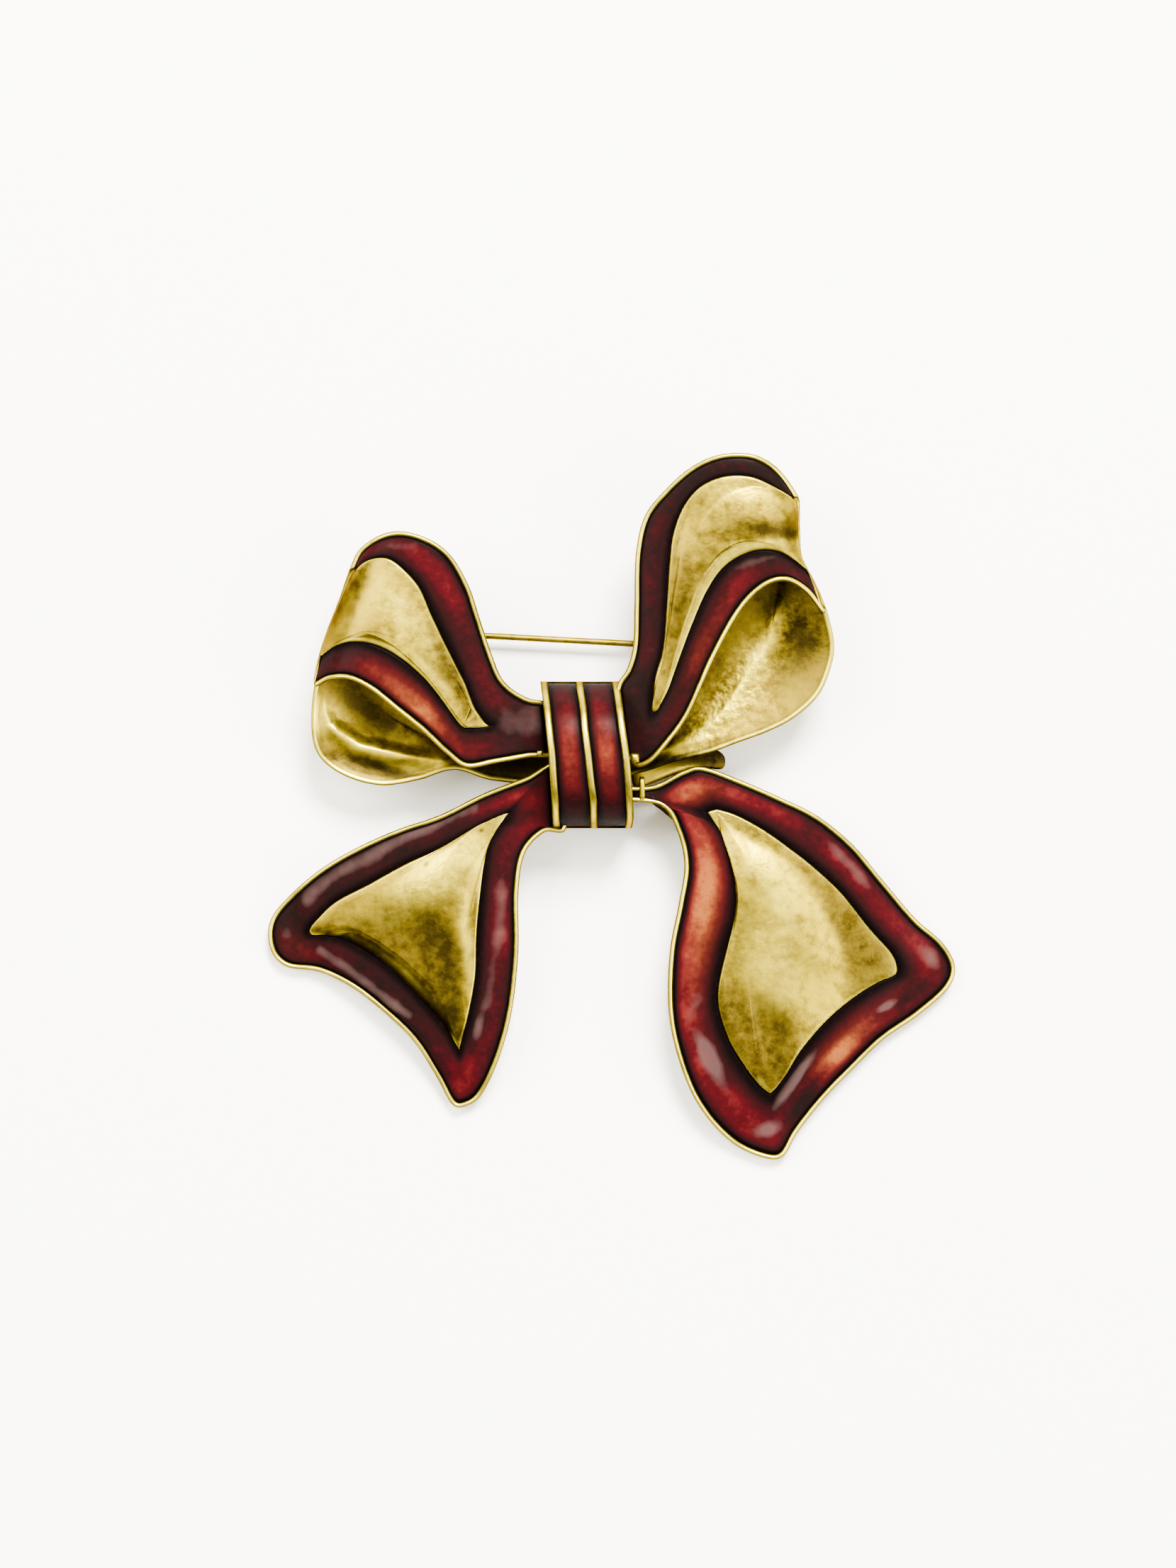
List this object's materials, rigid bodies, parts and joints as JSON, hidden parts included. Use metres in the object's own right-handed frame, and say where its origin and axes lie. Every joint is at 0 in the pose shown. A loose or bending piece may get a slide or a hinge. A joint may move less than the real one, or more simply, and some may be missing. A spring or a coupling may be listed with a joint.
{
  "type": "bow brooch",
  "caption": "Gilt bow brooch with two loops, two tails and a wrapped knot, red enamel borders and a hinged pin on the back.",
  "frame": {"origin": "middle of the brooch's outline, on the surface it rests on", "axes": "+Y up as it is worn, +X to the right as seen from the front, +Z out of its front; it lies on its back at Z 0"},
  "size_m": [0.0719, 0.0735, 0.012],
  "materials": {
    "gilt_brass": "antiqued, softly polished",
    "red_enamel": "translucent enamel, glossy",
    "pin_metal": "dull, drawn wire"
  },
  "bodies": {
    "brooch": {"bow_casting": "gilt_brass", "enamel_left_loop": "red_enamel", "enamel_right_loop": "red_enamel", "enamel_left_tail": "red_enamel", "enamel_right_tail": "red_enamel", "enamel_knot_left": "red_enamel", "enamel_knot_right": "red_enamel", "pin_hinge": "gilt_brass", "hinge_rivet": "pin_metal", "pin_catch": "gilt_brass"},
    "stem": {"pin_stem": "pin_metal"}
  },
  "joints": [
    {"name": "stem_hinge", "type": "hinge", "parent": "brooch", "child": "stem", "pos_m": [-0.02515, 0.0189, 0.0015], "axis": [0.0541, 0.9985, 0], "range_deg": [0, 100]}
  ]
}
